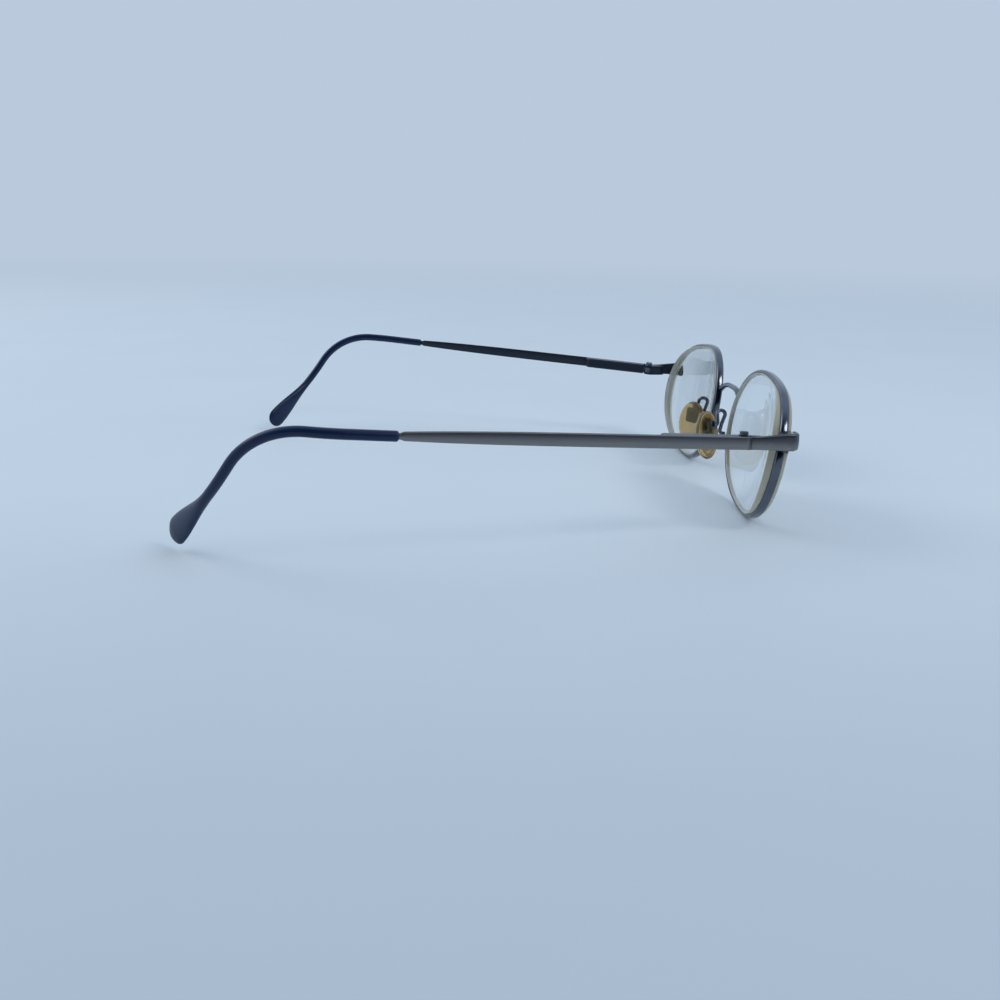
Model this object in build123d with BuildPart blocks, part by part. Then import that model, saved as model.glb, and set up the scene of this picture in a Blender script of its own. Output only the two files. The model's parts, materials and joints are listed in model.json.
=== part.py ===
from build123d import *
import os
from math import cos, pi, radians, sin, sqrt

os.makedirs("parts", exist_ok=True)

# Metal eyeglasses with spring hinges, standing open on a table. Millimetres and degrees.
# X is the width (+X is the wearer's left), the front faces -Y, Z is up and the table is z = 0.
# The wearer's left side is modelled and the right side is its mirror image.

# ---- lenses and rims
lens_width = 46.8  # across one lens, inside its rim
lens_height = 34.2
bridge_gap = 19.0  # between the two lenses
corner_fullness = {45: 1.016, 135: 1.10, 225: 1.005, 315: 1.03}  # against an ellipse; 0 is temporal, 90 is up
base_radius = 85.0  # front curve of the rims and the lenses
rear_radius = 60.0  # rear curve of the lenses
front_shift = 1.4  # axis of a lens's front curve, towards the temple
rear_shift = 1.8  # axis of a lens's rear curve, towards the nose
lens_centre_thickness = 2.0
lens_front_stand = 1.5  # lens front face ahead of the middle of the rim
rim_depth = 2.1  # front to back
rim_thickness = 0.9  # outwards from the lens
groove_depth = 0.35
groove_width = 0.9
lens_seat_gap = 0.03  # between a lens and its rim
front_tilt = 8.36  # tops of the lenses lean forward
front_wrap = 2.54  # temple sides of the lenses turn back
rim_split = 0.3  # saw cut through the rim, between the two lock blocks

# ---- bridge
bridge_height = 1.45
bridge_depth = 1.7
bridge_arch = 2.7  # rise of the middle above the feet
bridge_foot_z = 7.2  # feet above the lens centres
bridge_foot_back = 0.9  # feet behind the lens centres
bridge_forward = 0.8  # middle ahead of the feet
braze_gap = 0.02  # solder between metal pieces that are brazed together

# ---- rim lock blocks and endpieces
strip_thickness = 1.15
strip_height = 3.0  # at the hinge
strip_front_top = 2.2  # above the hinge's middle, at the front corner
strip_front_bottom = 1.8  # below it
endpiece_overhang = 1.9  # outer face beyond the rim
endpiece_depth = 11.6  # front face to the butt joint
endpiece_front = 0.15  # front face behind the lens centres
endpiece_flare = 0.5  # the butt joint stands wider than the front corner
endpiece_corner = 1.9  # outer radius of the bend
hinge_height = 6.35  # middle of the endpiece above the lens centres
lock_depth = 2.9
lock_height = 1.9  # of each block
lock_width = 3.4
lock_screw_radius = 0.4
lock_head_radius = 0.6
lock_head_height = 0.5
lock_slot = (0.25, 0.22)  # width and depth
thread_gap = 0.02

# ---- hinge
butt_gap = 0.26
axis_behind_butt = 0.7
axis_inboard = 2.6  # hinge axis from the outer face
hinge_lean = 4.0  # hinge axes lean together at the top, so that folded temples pass over each other
knuckle_radius = 1.4
knuckle_height = 1.3  # middle knuckle
knuckle_gap = 0.06  # between knuckles
leaf_length = 4.2  # front leaf ahead of the butt joint
hinge_screw_radius = 0.55
hinge_running_gap = 0.03
hinge_head_radius = 1.0
hinge_head_height = 0.9
hinge_slot = (0.28, 0.25)  # width and depth

# ---- temple bar and spring housing
temple_splay = 14.6  # bars spread outwards towards the ears
temple_rise = 3.8  # bars climb towards the ears
bar_length = 81.0  # hinge axis to the mouth of the tip
bar_thickness = 1.0
bar_neck_height = 1.9
housing_length = 19.9
housing_thickness = 2.5
housing_height = 2.95
housing_front_wall = 1.2
housing_end_wall = 1.4
spring_bore_radius = 0.85
stem_radius = 0.42
stem_gap = 0.04
spring_wire = 0.22
spring_turns = 9
spring_travel = 0.8
stop_length = 1.0

# ---- temple tips
tip_diameter = 2.3  # at the mouth
paddle_height = 6.4
paddle_thickness = 1.9
core_radius = 0.62
core_gap = 0.04
core_length = 46.0
core_root = 3.0  # wire inside the end of the bar
bend_radii = [25.0, 14.0, 12.0]  # behind the mouth, at the ear, above the paddle

# ---- nose pads
pad_height = 13.4
pad_width = 7.6
pad_thickness = 1.9
pad_frontal = 17.0  # tops of the pads lean together
pad_splay = 28.0  # rear edges of the pads stand apart
pad_aside = 8.8  # pad's centre from the middle of the bridge
pad_behind = 5.2  # pad's centre behind the foot of its arm
pad_below = 2.4  # pad's centre below the lens centres
pad_mount_rise = 2.6  # pad box above the pad's centre
tab_thickness = 0.8
tab_radius = 0.8
box_wall = 0.45
box_height = 2.2
box_depth = 1.9
box_gap = 0.08  # each side of the tab
pad_screw_radius = 0.38
pad_screw_gap = 0.04
pad_head_radius = 0.7
pad_head_height = 0.4
arm_radius = 0.5

# ---- what follows from them
half_width = lens_width / 2
half_height = lens_height / 2
lens_x = (lens_width + bridge_gap) / 2
tilt = radians(front_tilt)
wrap = radians(front_wrap)
outline_points = 28


def lens_radius(angle):
    """Distance from the lens centre to its edge, smooth through eight directions 45 degrees apart."""
    ellipse = half_width * half_height * sqrt(2) / sqrt(half_width**2 + half_height**2)
    total = 0.0
    for step in range(8):
        direction = step * 45
        if direction % 180 == 0:
            reach = half_width
        elif direction % 90 == 0:
            reach = half_height
        else:
            reach = ellipse * corner_fullness[direction]
        turn = angle - radians(direction)
        total += reach * (1 + 2 * sum(cos(n * turn) for n in (1, 2, 3)) + cos(4 * turn)) / 8
    return total


def outline(grow):
    """Points round the lens shape, each pushed outwards, square to the edge, by grow."""
    points = []
    small = 1e-4
    for index in range(outline_points):
        angle = 2 * pi * index / outline_points
        reach = lens_radius(angle)
        slope = (lens_radius(angle + small) - lens_radius(angle - small)) / (2 * small)
        across = (reach * cos(angle) + slope * sin(angle), reach * sin(angle) - slope * cos(angle))
        size = sqrt(across[0] ** 2 + across[1] ** 2)
        x = reach * cos(angle) + grow * across[0] / size
        y = reach * sin(angle) + grow * across[1] / size
        points.append((x, y))
    return points


def lowest_rim_point():
    """How far the bottom of a tilted rim lies below its lens centre."""
    lows = []
    for x, y in outline(rim_thickness):
        back = (x**2 + y**2) / (2 * base_radius)
        for half in (-rim_depth / 2, rim_depth / 2):
            lows.append(y * cos(tilt) + ((back + half) * cos(wrap) + x * sin(wrap)) * sin(tilt))
    return min(lows)


lens_z = -lowest_rim_point()
hinge_z = lens_z + hinge_height

# Along the temple bar, up and square to it, inwards, and up the hinge axis, for the left side.
splay = radians(temple_splay)
rise = radians(temple_rise)
along = Vector(sin(splay) * cos(rise), cos(splay) * cos(rise), sin(rise))
axis = (Vector(0, 0, 1) - along * along.Z).normalized()
inward = axis.cross(along)
hinge_axis = (axis + inward * sin(radians(hinge_lean))).normalized()

corner_x = lens_x + half_width + rim_thickness + endpiece_overhang
butt_outer = Vector(corner_x + endpiece_flare, endpiece_front + endpiece_depth, hinge_z)
hinge_point = butt_outer + along * axis_behind_butt + inward * axis_inboard

# The tip's route: corners of its centreline, in steps along the bar, inwards and up the axis.
tip_route = [(14.1, 0.45, 0.15), (14.3, 4.75, 0.05), (7.4, 7.55, -15.3), (7.2, 14.7, -13.4)]
bar_middle = axis_inboard - bar_thickness / 2
mouth = hinge_point + along * bar_length - inward * bar_middle
corners = [mouth]
for step_along, step_in, step_up in tip_route:
    corners.append(corners[-1] + along * step_along + inward * step_in + axis * step_up)
last_run = corners[-1] - corners[-2]
paddle_drop = paddle_height / 2 * 0.93
corners[-1] = corners[-2] + last_run * ((paddle_drop - corners[-2].Z) / last_run.Z)

front_reach = lens_front_stand + 0.8
rear_reach = corners[-1].Y + paddle_height / 3
lens_y = (front_reach - rear_reach) / 2
shift = Vector(0, lens_y, 0)
hinge_point = hinge_point + shift
corners = [corner + shift for corner in corners]

lens_plane = Plane(
    origin=(lens_x, lens_y, lens_z),
    x_dir=(cos(wrap), sin(wrap) * cos(tilt), sin(wrap) * sin(tilt)),
    z_dir=(sin(wrap), -cos(wrap) * cos(tilt), -cos(wrap) * sin(tilt)),
)
temple_plane = Plane(origin=hinge_point, x_dir=along, z_dir=axis)  # x along the bar, y inwards, z up
hinge_plane = Plane(origin=hinge_point, x_dir=along, z_dir=hinge_axis)
profile_depth = 24.0
blank_radius = 0.62 * lens_width + 3


def sag(radius, reach):
    """How far a ball of this radius falls away from its tangent plane at this reach."""
    return radius - sqrt(radius**2 - reach**2)


def dish(face, radius, aside, flat):
    """A round disc with a domed front that crosses its own axis at face, and a flat back at flat."""
    centre = lens_plane.from_local_coords(Vector(aside, 0, 0))
    half = blank_radius / 2
    with BuildPart() as disc:
        with BuildSketch(Plane(origin=centre, x_dir=lens_plane.x_dir, z_dir=-lens_plane.y_dir)):
            with BuildLine():
                edge = (blank_radius, face - sag(radius, blank_radius))
                dome = ThreePointArc((0, face), (half, face - sag(radius, half)), edge)
                Polyline(dome @ 1, (blank_radius, flat), (0, flat), dome @ 0)
            make_face()
        revolve(axis=Axis(centre, lens_plane.z_dir))
    return disc.part


def lens_prism(grow):
    """A long bar along the lens axis with the lens shape, grown by grow, as its section."""
    with BuildPart() as prism:
        with BuildSketch(lens_plane.offset(-profile_depth)):
            with BuildLine():
                Spline(*outline(grow), periodic=True)
            make_face()
        extrude(amount=2 * profile_depth)
    return prism.part


def curved_plate(grow, front, rear):
    """The lens shape grown by grow, between a front and a rear curve: (face, radius, aside) each."""
    with BuildPart() as plate:
        add(dish(*front, -profile_depth))
        add(lens_prism(grow), mode=Mode.INTERSECT)
        add(dish(*rear, -profile_depth - 1), mode=Mode.SUBTRACT)
    return plate.part


def base_plate(grow, thickness):
    """The lens shape grown by grow, of this thickness, centred on the base curve."""
    half = thickness / 2
    return curved_plate(grow, (half, base_radius + half, 0), (-half, base_radius - half, 0))


# ---- rim: a ring bent to the base curve, with a groove inside and a saw cut at the temple side
split_angle = 0.275
split_local = (lens_radius(split_angle) * cos(split_angle), hinge_height)

with BuildPart() as rim:
    add(base_plate(rim_thickness, rim_depth))
    fillet(rim.edges(), radius=rim_thickness / 3)
    add(lens_prism(0), mode=Mode.SUBTRACT)
    add(base_plate(groove_depth, groove_width), mode=Mode.SUBTRACT)
    with BuildSketch(lens_plane.offset(-profile_depth)):
        with Locations(split_local):
            Rectangle(5 * rim_thickness, rim_split)
    extrude(amount=2 * profile_depth, mode=Mode.SUBTRACT)

# ---- lens: a meniscus thicker than the rim at its edge, with a bevel ridge in the rim's groove
lens_front = (lens_front_stand, base_radius, front_shift)
lens_rear = (lens_front_stand - lens_centre_thickness, rear_radius, -rear_shift)
with BuildPart() as lens:
    add(base_plate(groove_depth - 2 * lens_seat_gap, groove_width - 4 * lens_seat_gap))
    add(curved_plate(-lens_seat_gap, lens_front, lens_rear))

# ---- the space that the rim takes, grown by the braze gap, which brazed pieces are cut back from
rim_space = lens_prism(rim_thickness + braze_gap)

# ---- bridge: one arched bar between the rims
foot_x = lens_x - half_width * 0.97
bridge_shape = [(-1, 0), (-0.62, 0.76), (0, 1), (0.62, 0.76), (1, 0)]  # across, and share of the arch
with BuildPart() as bridge:
    with BuildLine():
        arch = Spline(
            *[
                (
                    foot_x * across,
                    lens_y + bridge_foot_back - bridge_forward * share,
                    lens_z + bridge_foot_z + bridge_arch * share,
                )
                for across, share in bridge_shape
            ]
        )
    with BuildSketch(Plane(origin=arch @ 0, x_dir=(0, 1, 0), z_dir=arch % 0)):
        Ellipse(bridge_depth / 2, bridge_height / 2)
    sweep()
    add(rim_space, mode=Mode.SUBTRACT)
    add(mirror(rim_space, about=Plane.YZ), mode=Mode.SUBTRACT)
bridge.part.label = "bridge"
export_step(bridge.part, "parts/bridge.step")

# ---- rim lock: two blocks outside the rim, one each side of the saw cut, and the screw that shuts them
strip_back = lens_y + endpiece_front + strip_thickness
strip_inner = corner_x - strip_thickness
lock_inner = strip_inner - lock_width
lock_y = strip_back + lock_depth / 2 + braze_gap
lock_x = (lock_inner + strip_inner) / 2 - braze_gap
lock_screw_x = strip_inner - lock_screw_radius - 0.15
lock_screw_y = lock_y + 0.2
lock_screw_place = Locations((lock_screw_x, lock_screw_y))


def lock_block(direction):
    """The block above (1) or below (-1) the saw cut, shaped to the outside of the rim."""
    with BuildPart() as block:
        with BuildSketch(Plane.XY.offset(hinge_z + direction * rim_split / 2)):
            with Locations((lock_x, lock_y)):
                Rectangle(lock_width, lock_depth)
        extrude(amount=direction * lock_height)
        add(rim_space, mode=Mode.SUBTRACT)
    return block.part


with BuildPart() as rim_lock_upper:
    add(lock_block(1))
    with BuildSketch(Plane.XY.offset(hinge_z)):
        with lock_screw_place:
            Circle(lock_screw_radius + thread_gap)
    extrude(amount=lock_height - 0.2, mode=Mode.SUBTRACT)

lock_bottom = hinge_z - rim_split / 2 - lock_height
head_plane = Plane.XY.offset(lock_bottom - lock_head_height)
with BuildPart() as rim_lock_lower:
    add(lock_block(-1))
    with BuildSketch(Plane.XY.offset(lock_bottom)):
        with lock_screw_place:
            Circle(lock_screw_radius + thread_gap)
    extrude(amount=lock_height, mode=Mode.SUBTRACT)

with BuildPart() as rim_lock_screw:
    with BuildSketch(head_plane):
        with lock_screw_place:
            Circle(lock_head_radius)
    extrude(amount=lock_head_height - thread_gap)
    with BuildSketch(head_plane):
        with lock_screw_place:
            Circle(lock_screw_radius)
    extrude(amount=2 * lock_height)
    with BuildSketch(head_plane):
        with lock_screw_place:
            Rectangle(2 * lock_head_radius, lock_slot[0])
    extrude(amount=lock_slot[1], mode=Mode.SUBTRACT)

# ---- endpiece: a flat strip from the front of the lock blocks, round the corner, back to the butt joint
front_y = lens_y + endpiece_front
butt_point = butt_outer + shift
strip_end = lock_inner + 1.1
past_butt = 2.0  # the strip is drawn this far past the butt joint, then cut square to the temple
reach_y = butt_point.Y + past_butt
reach_x = butt_point.X + past_butt * endpiece_flare / endpiece_depth
taper_start = front_y + 3.0
taper_end = butt_point.Y - 2.0
half_strip = strip_height / 2
with BuildPart() as endpiece:
    with BuildSketch(Plane.XY.offset(hinge_z - strip_height)):
        with BuildLine():
            Polyline(
                (strip_end, front_y),
                (corner_x, front_y),
                (reach_x, reach_y),
                (reach_x - strip_thickness, reach_y),
                (strip_inner, strip_back),
                (strip_end, strip_back),
                close=True,
            )
        make_face()
    extrude(amount=2 * strip_height)
    fillet(endpiece.edges().filter_by(Axis.Z).group_by(Axis.Y)[0].sort_by(Axis.X)[-1], radius=endpiece_corner)
    with BuildSketch(Plane.YZ.offset(strip_end - 1)):
        with BuildLine():
            Polyline(
                (front_y - 1, hinge_z + strip_front_top),
                (taper_start, hinge_z + strip_front_top),
                (taper_end, hinge_z + half_strip),
                (reach_y + 1, hinge_z + half_strip),
                (reach_y + 1, hinge_z - half_strip),
                (taper_end, hinge_z - half_strip),
                (taper_start, hinge_z - strip_front_bottom),
                (front_y - 1, hinge_z - strip_front_bottom),
                close=True,
            )
        make_face()
    extrude(amount=reach_x + 2 - strip_end, mode=Mode.INTERSECT)
    with BuildSketch(temple_plane.offset(-strip_height)):
        with Locations((10 - axis_behind_butt - butt_gap / 2, 0)):
            Rectangle(20, 20)
    extrude(amount=2 * strip_height, mode=Mode.SUBTRACT)

# ---- hinge: front leaf with two knuckles on the endpiece's inner face
leaf_outer = -axis_inboard + strip_thickness + 0.25
leaf_back = -axis_behind_butt - butt_gap / 2
half_stack = housing_height / 2


def knuckle(low, high, radius):
    """A round boss on the hinge axis between two heights."""
    with BuildPart() as boss:
        with BuildSketch(hinge_plane.offset(low)):
            Circle(radius)
        extrude(amount=high - low)
    return boss.part


with BuildPart() as hinge_leaf:
    with BuildSketch(hinge_plane.offset(-half_stack)):
        with BuildLine():
            Polyline(
                (leaf_back - leaf_length, leaf_outer),
                (leaf_back - leaf_length + 0.9, leaf_outer + 0.9),
                (leaf_back, knuckle_radius),
                (0, knuckle_radius),
                (0, 0),
                (leaf_back, leaf_outer),
                close=True,
            )
        make_face()
    extrude(amount=2 * half_stack)
    add(knuckle(-half_stack, half_stack, knuckle_radius))
    slot = knuckle_height / 2 + knuckle_gap
    add(knuckle(-slot, slot, knuckle_radius + 0.12), mode=Mode.SUBTRACT)
    with BuildSketch(hinge_plane.offset(-half_stack)):
        Circle(hinge_screw_radius + hinge_running_gap)
    extrude(amount=2 * half_stack, mode=Mode.SUBTRACT)
    add(endpiece.part, mode=Mode.SUBTRACT)

with BuildPart() as hinge_screw:
    with BuildSketch(hinge_plane.offset(-half_stack)):
        Circle(hinge_screw_radius)
    extrude(amount=2 * half_stack + hinge_head_height)
    add(knuckle(half_stack + braze_gap, half_stack + hinge_head_height, hinge_head_radius))
    chamfer(hinge_screw.faces().sort_by(Axis.Z)[-1].edges(), length=0.15)
    with BuildSketch(hinge_plane.offset(half_stack + hinge_head_height - hinge_slot[1])):
        Rectangle(hinge_slot[0], 3 * hinge_head_radius)
    extrude(amount=2 * hinge_slot[1], mode=Mode.SUBTRACT)

# ---- spring plunger: middle knuckle, shank and the stem that slides in the housing
housing_start = knuckle_radius + 0.3
housing_outer = -axis_inboard + bar_thickness + braze_gap
housing_middle = housing_outer + housing_thickness / 2
stem_end = housing_start + housing_length - housing_end_wall - spring_travel - 0.4
stop_start = stem_end - stop_length
stem_start = temple_plane.from_local_coords(Vector(0, housing_middle, 0))
stem_plane = Plane(origin=stem_start, x_dir=inward, z_dir=along)

with BuildPart() as spring_plunger:
    add(knuckle(-knuckle_height / 2, knuckle_height / 2, knuckle_radius))
    with BuildSketch(hinge_plane.offset(-knuckle_height / 2)):
        with Locations((housing_start / 2, housing_middle)):
            Rectangle(housing_start - 0.1, 1.6)
    extrude(amount=knuckle_height)
    with BuildSketch(stem_plane.offset(knuckle_radius / 2)):
        Circle(stem_radius)
    extrude(amount=stem_end - knuckle_radius / 2)
    pin_hole = hinge_screw_radius + hinge_running_gap
    add(knuckle(-knuckle_height, knuckle_height, pin_hole), mode=Mode.SUBTRACT)

with BuildPart() as spring_stop:
    with BuildSketch(stem_plane.offset(stop_start)):
        Circle(spring_bore_radius - 0.06)
        Circle(stem_radius + braze_gap, mode=Mode.SUBTRACT)
    extrude(amount=stop_length)

spring_start = housing_start + housing_front_wall + 0.05
spring_end = stop_start - 0.05
coil_radius = spring_bore_radius - 0.08 - spring_wire / 2
coil_height = spring_end - spring_start - spring_wire
with BuildPart() as spring:
    with BuildLine():
        seat = stem_plane.offset(spring_start + spring_wire / 2)
        turns = Helix(coil_height / spring_turns, coil_height, coil_radius, mode=Mode.PRIVATE)
        coil = (seat * turns).edge()
        add(coil)
    with BuildSketch(Plane(origin=coil @ 0, z_dir=coil % 0)):
        Circle(spring_wire / 2)
    sweep(is_frenet=True)

# ---- spring housing: a closed box along the inner face of the bar
with BuildPart() as spring_housing:
    with BuildSketch(temple_plane.offset(-housing_height / 2)):
        with Locations((housing_start + housing_length / 2, housing_middle)):
            Rectangle(housing_length, housing_thickness)
    extrude(amount=housing_height)
    rear_edges = spring_housing.faces().sort_by(Axis(hinge_point, along))[-1].edges()
    fillet(rear_edges.sort_by(Axis(hinge_point, inward))[-1], radius=housing_thickness - 0.6)
    inner_face = spring_housing.faces().sort_by(Axis(hinge_point, inward))[-1]
    chamfer(inner_face.edges().filter_by(Axis(hinge_point, along)), length=0.35)
    with BuildSketch(stem_plane.offset(housing_start)):
        Circle(stem_radius + stem_gap)
    extrude(amount=housing_front_wall, mode=Mode.SUBTRACT)
    with BuildSketch(stem_plane.offset(housing_start + housing_front_wall)):
        Circle(spring_bore_radius)
    extrude(amount=housing_length - housing_front_wall - housing_end_wall, mode=Mode.SUBTRACT)

# ---- temple bar: a flat bar that narrows to a neck, then runs on as a wire inside the tip
bar_start = -axis_behind_butt + butt_gap / 2
side_start = temple_plane.from_local_coords(Vector(0, -axis_inboard, 0))
side_plane = Plane(origin=side_start, x_dir=along, z_dir=inward)
neck = bar_length - 1.2
half_neck = bar_neck_height / 2
with BuildPart() as temple_bar:
    with BuildSketch(side_plane):
        with BuildLine():
            lower = Spline(
                (bar_start, half_strip),
                (0.45 * bar_length, 0.97 * half_strip),
                (0.8 * bar_length, 0.5 * (half_strip + half_neck) + 0.1),
                (neck, half_neck),
            )
            Line(lower @ 1, (neck, -half_neck))
            upper = Spline(
                (neck, -half_neck),
                (0.8 * bar_length, -0.5 * (half_strip + half_neck) - 0.1),
                (0.45 * bar_length, -0.97 * half_strip),
                (bar_start, -half_strip),
            )
            Line(upper @ 1, lower @ 0)
        make_face()
    extrude(amount=bar_thickness)
    with BuildLine():
        route = FilletPolyline(corners[0] - along * core_root, *corners[1:], radius=bend_radii)
    core_share = (core_length + core_root) / route.length
    core = route.trim(0, core_share)
    with BuildSketch(Plane(origin=route @ 0, z_dir=route % 0)):
        Circle(core_radius)
    sweep(path=core)

# ---- temple tip: a round sleeve that follows the ear bend, then widens to a flat rounded paddle
paddle_run = route.edges()[-1]
paddle_length = paddle_run.length
tip_end = paddle_run @ 1
tip_heading = paddle_run % 1
tip_side = tip_heading.cross(Vector(0, 0, 1)).normalized()
round_end = paddle_height / 2
stations = [0.04, 0.2, 0.5, 0.9, 1.4, 2.0, 2.7, 1.02 * round_end]
widening = 8
stations += [round_end + (paddle_length - round_end) * step / widening for step in range(1, widening + 1)]


def paddle_size(distance):
    """Height and thickness of the paddle at a distance from its end."""
    share = max(0, (distance - round_end) / (paddle_length - round_end))
    share = share * share * (3 - 2 * share)
    height = paddle_height + (tip_diameter - paddle_height) * share
    thickness = paddle_thickness + (tip_diameter - paddle_thickness) * share
    closing = sqrt(1 - (1 - min(distance, round_end) / round_end) ** 2)
    return height * closing, thickness * sqrt(closing)


sleeve = route.trim(core_root / route.length, 1 - paddle_length / route.length)
with BuildPart() as temple_tip:
    with BuildSketch(Plane(origin=sleeve @ 0, z_dir=sleeve % 0)):
        Circle(tip_diameter / 2)
    sweep(path=sleeve)
    for distance in stations:
        height, thickness = paddle_size(distance)
        with BuildSketch(Plane(origin=tip_end - tip_heading * distance, x_dir=tip_side, z_dir=tip_heading)):
            Ellipse(thickness / 2, height / 2)
    loft(ruled=True)
    with BuildSketch(Plane(origin=route @ 0, z_dir=route % 0)):
        Circle(core_radius + core_gap)
    sweep(path=route.trim(0, core_share + 1 / route.length), mode=Mode.SUBTRACT)

# ---- nose pad: a soft pad with a metal insert, held in a box at the end of a bent arm
foot_reach = half_width + 0.75 * rim_thickness
foot_drop = -2.4  # against the lens centre
foot_gap = 0.15  # filled with solder, because the wire's end is flat and the rim's back is curved
rear_face = -sag(base_radius, foot_reach) - rim_depth / 2 - foot_gap
arm_foot = lens_plane.from_local_coords(Vector(-foot_reach, foot_drop, rear_face))
lean = radians(pad_frontal)
turn = radians(pad_splay)
pad_up = Vector(-sin(lean), 0, cos(lean))
level = Vector(-sin(turn), -cos(turn), 0)
pad_ahead = (level - pad_up * level.dot(pad_up)).normalized()
to_nose = pad_ahead.cross(pad_up)
pad_origin = Vector(pad_aside, arm_foot.Y + pad_behind, lens_z - pad_below)
pad_plane = Plane(origin=pad_origin, x_dir=pad_ahead, z_dir=to_nose)
mount_origin = pad_plane.from_local_coords(Vector(0, pad_mount_rise, -pad_thickness / 2))
mount_plane = Plane(origin=mount_origin, x_dir=pad_ahead, z_dir=to_nose)
pin_back = 1.5  # screw behind the pad's back face
insert_depth = 0.5  # metal insert below the pad's back face
insert_size = (3.4, 4.6)
insert_thickness = 0.5


def cross_plane(aside):
    """A plane across the pad box, square to its screw, with x towards the nose."""
    place = mount_plane.from_local_coords(Vector(aside, 0, 0))
    return Plane(origin=place, x_dir=to_nose, z_dir=pad_ahead)



with BuildPart() as pad_insert:
    with BuildSketch(mount_plane.offset(insert_depth)):
        RectangleRounded(*insert_size, radius=tab_radius)
    extrude(amount=insert_thickness)
    with BuildSketch(cross_plane(-tab_thickness / 2)):
        with Locations((-pin_back, 0)):
            Circle(tab_radius)
        with Locations(((insert_depth + 0.1 - pin_back) / 2, 0)):
            Rectangle(pin_back + insert_depth + 0.1, 2 * tab_radius)
        with Locations((-pin_back, 0)):
            Circle(pad_screw_radius + pad_screw_gap, mode=Mode.SUBTRACT)
    extrude(amount=tab_thickness)

with BuildPart() as nose_pad:
    with BuildSketch(pad_plane.offset(-pad_thickness / 2)):
        Ellipse(pad_width / 2, pad_height / 2)
    extrude(amount=pad_thickness)
    fillet(nose_pad.faces().sort_by(Axis(pad_origin, to_nose))[-1].edges(), radius=0.6 * pad_thickness)
    fillet(nose_pad.faces().sort_by(Axis(pad_origin, to_nose))[0].edges(), radius=0.25 * pad_thickness)
    with BuildSketch(mount_plane.offset(insert_depth - braze_gap)):
        RectangleRounded(insert_size[0] + 2 * braze_gap, insert_size[1] + 2 * braze_gap, radius=tab_radius)
    extrude(amount=insert_thickness + 2 * braze_gap, mode=Mode.SUBTRACT)
    with BuildSketch(mount_plane.offset(-insert_depth)):
        Rectangle(tab_thickness + 2 * braze_gap, 2 * (tab_radius + braze_gap))
    extrude(amount=2 * insert_depth + 0.2, mode=Mode.SUBTRACT)

box_inner = tab_thickness + 2 * box_gap
box_width = box_inner + 2 * box_wall
cheek_start = -0.35
with BuildPart() as pad_box:
    with BuildSketch(mount_plane.offset(cheek_start)):
        Rectangle(box_width, box_height)
    extrude(amount=-(box_depth + box_wall))
    with BuildSketch(mount_plane.offset(cheek_start)):
        Rectangle(box_inner, 2 * box_height)
    extrude(amount=-box_depth - 0.15, mode=Mode.SUBTRACT)
    with BuildSketch(cross_plane(-box_width)):
        with Locations((-pin_back, 0)):
            Circle(pad_screw_radius + pad_screw_gap)
    extrude(amount=2 * box_width, mode=Mode.SUBTRACT)

screw_start = box_width / 2 + 0.05
with BuildPart() as pad_screw:
    with BuildSketch(cross_plane(-screw_start)):
        with Locations((-pin_back, 0)):
            Circle(pad_screw_radius)
    extrude(amount=2 * screw_start)
    with BuildSketch(cross_plane(screw_start)):
        with Locations((-pin_back, 0)):
            Circle(pad_head_radius)
    extrude(amount=pad_head_height)

# The arm leaves the rim backwards, climbs in front of the box, loops over and comes down behind it.
box_back = mount_plane.from_local_coords(Vector(0, 0, cheek_start - box_depth - box_wall))
with BuildPart() as pad_arm:
    with BuildLine():
        arm_route = FilletPolyline(
            arm_foot,
            arm_foot - lens_plane.z_dir * 1.6 + Vector(0.5, 0, 0),
            box_back + Vector(-1.35, -2.35, 0.3),
            box_back + Vector(-1.25, -3.4, 3.7),
            box_back + Vector(-1.25, -0.7, 4.0),
            box_back - to_nose * 1.3,
            box_back - to_nose * braze_gap,
            radius=[1.2, 1.2, 1.2, 1.2, 0.6],
        )
    with BuildSketch(Plane(origin=arm_route @ 0, z_dir=arm_route % 0)):
        Circle(arm_radius)
    sweep()

# ---- write the left pieces and their mirror images
left_pieces = {
    "rim": rim,
    "lens": lens,
    "rim_lock_upper": rim_lock_upper,
    "rim_lock_lower": rim_lock_lower,
    "rim_lock_screw": rim_lock_screw,
    "endpiece": endpiece,
    "hinge_leaf": hinge_leaf,
    "hinge_screw": hinge_screw,
    "spring_plunger": spring_plunger,
    "spring_stop": spring_stop,
    "spring": spring,
    "spring_housing": spring_housing,
    "temple_bar": temple_bar,
    "temple_tip": temple_tip,
    "nose_pad": nose_pad,
    "pad_insert": pad_insert,
    "pad_box": pad_box,
    "pad_screw": pad_screw,
    "pad_arm": pad_arm,
}
for name, piece in left_pieces.items():
    piece.part.label = f"left_{name}"
    export_step(piece.part, f"parts/left_{name}.step")
    twin = mirror(piece.part, about=Plane.YZ)
    twin.label = f"right_{name}"
    export_step(twin, f"parts/right_{name}.step")
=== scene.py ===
# %% [markdown]
# # Metal eyeglasses with spring hinges
# The glasses stand open on a table. X is the width, with +X on the wearer's left, the lenses face -Y,
# and Z is up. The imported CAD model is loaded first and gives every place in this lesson.
# The left half of the glasses is the mirror image of the right half, so a piece is made once, for the
# wearer's left, and its twin is a mirrored copy.

import json
from math import atan2, cos, pi, radians, sin, sqrt

import bmesh
import bpy
from mathutils import Matrix, Vector


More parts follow.
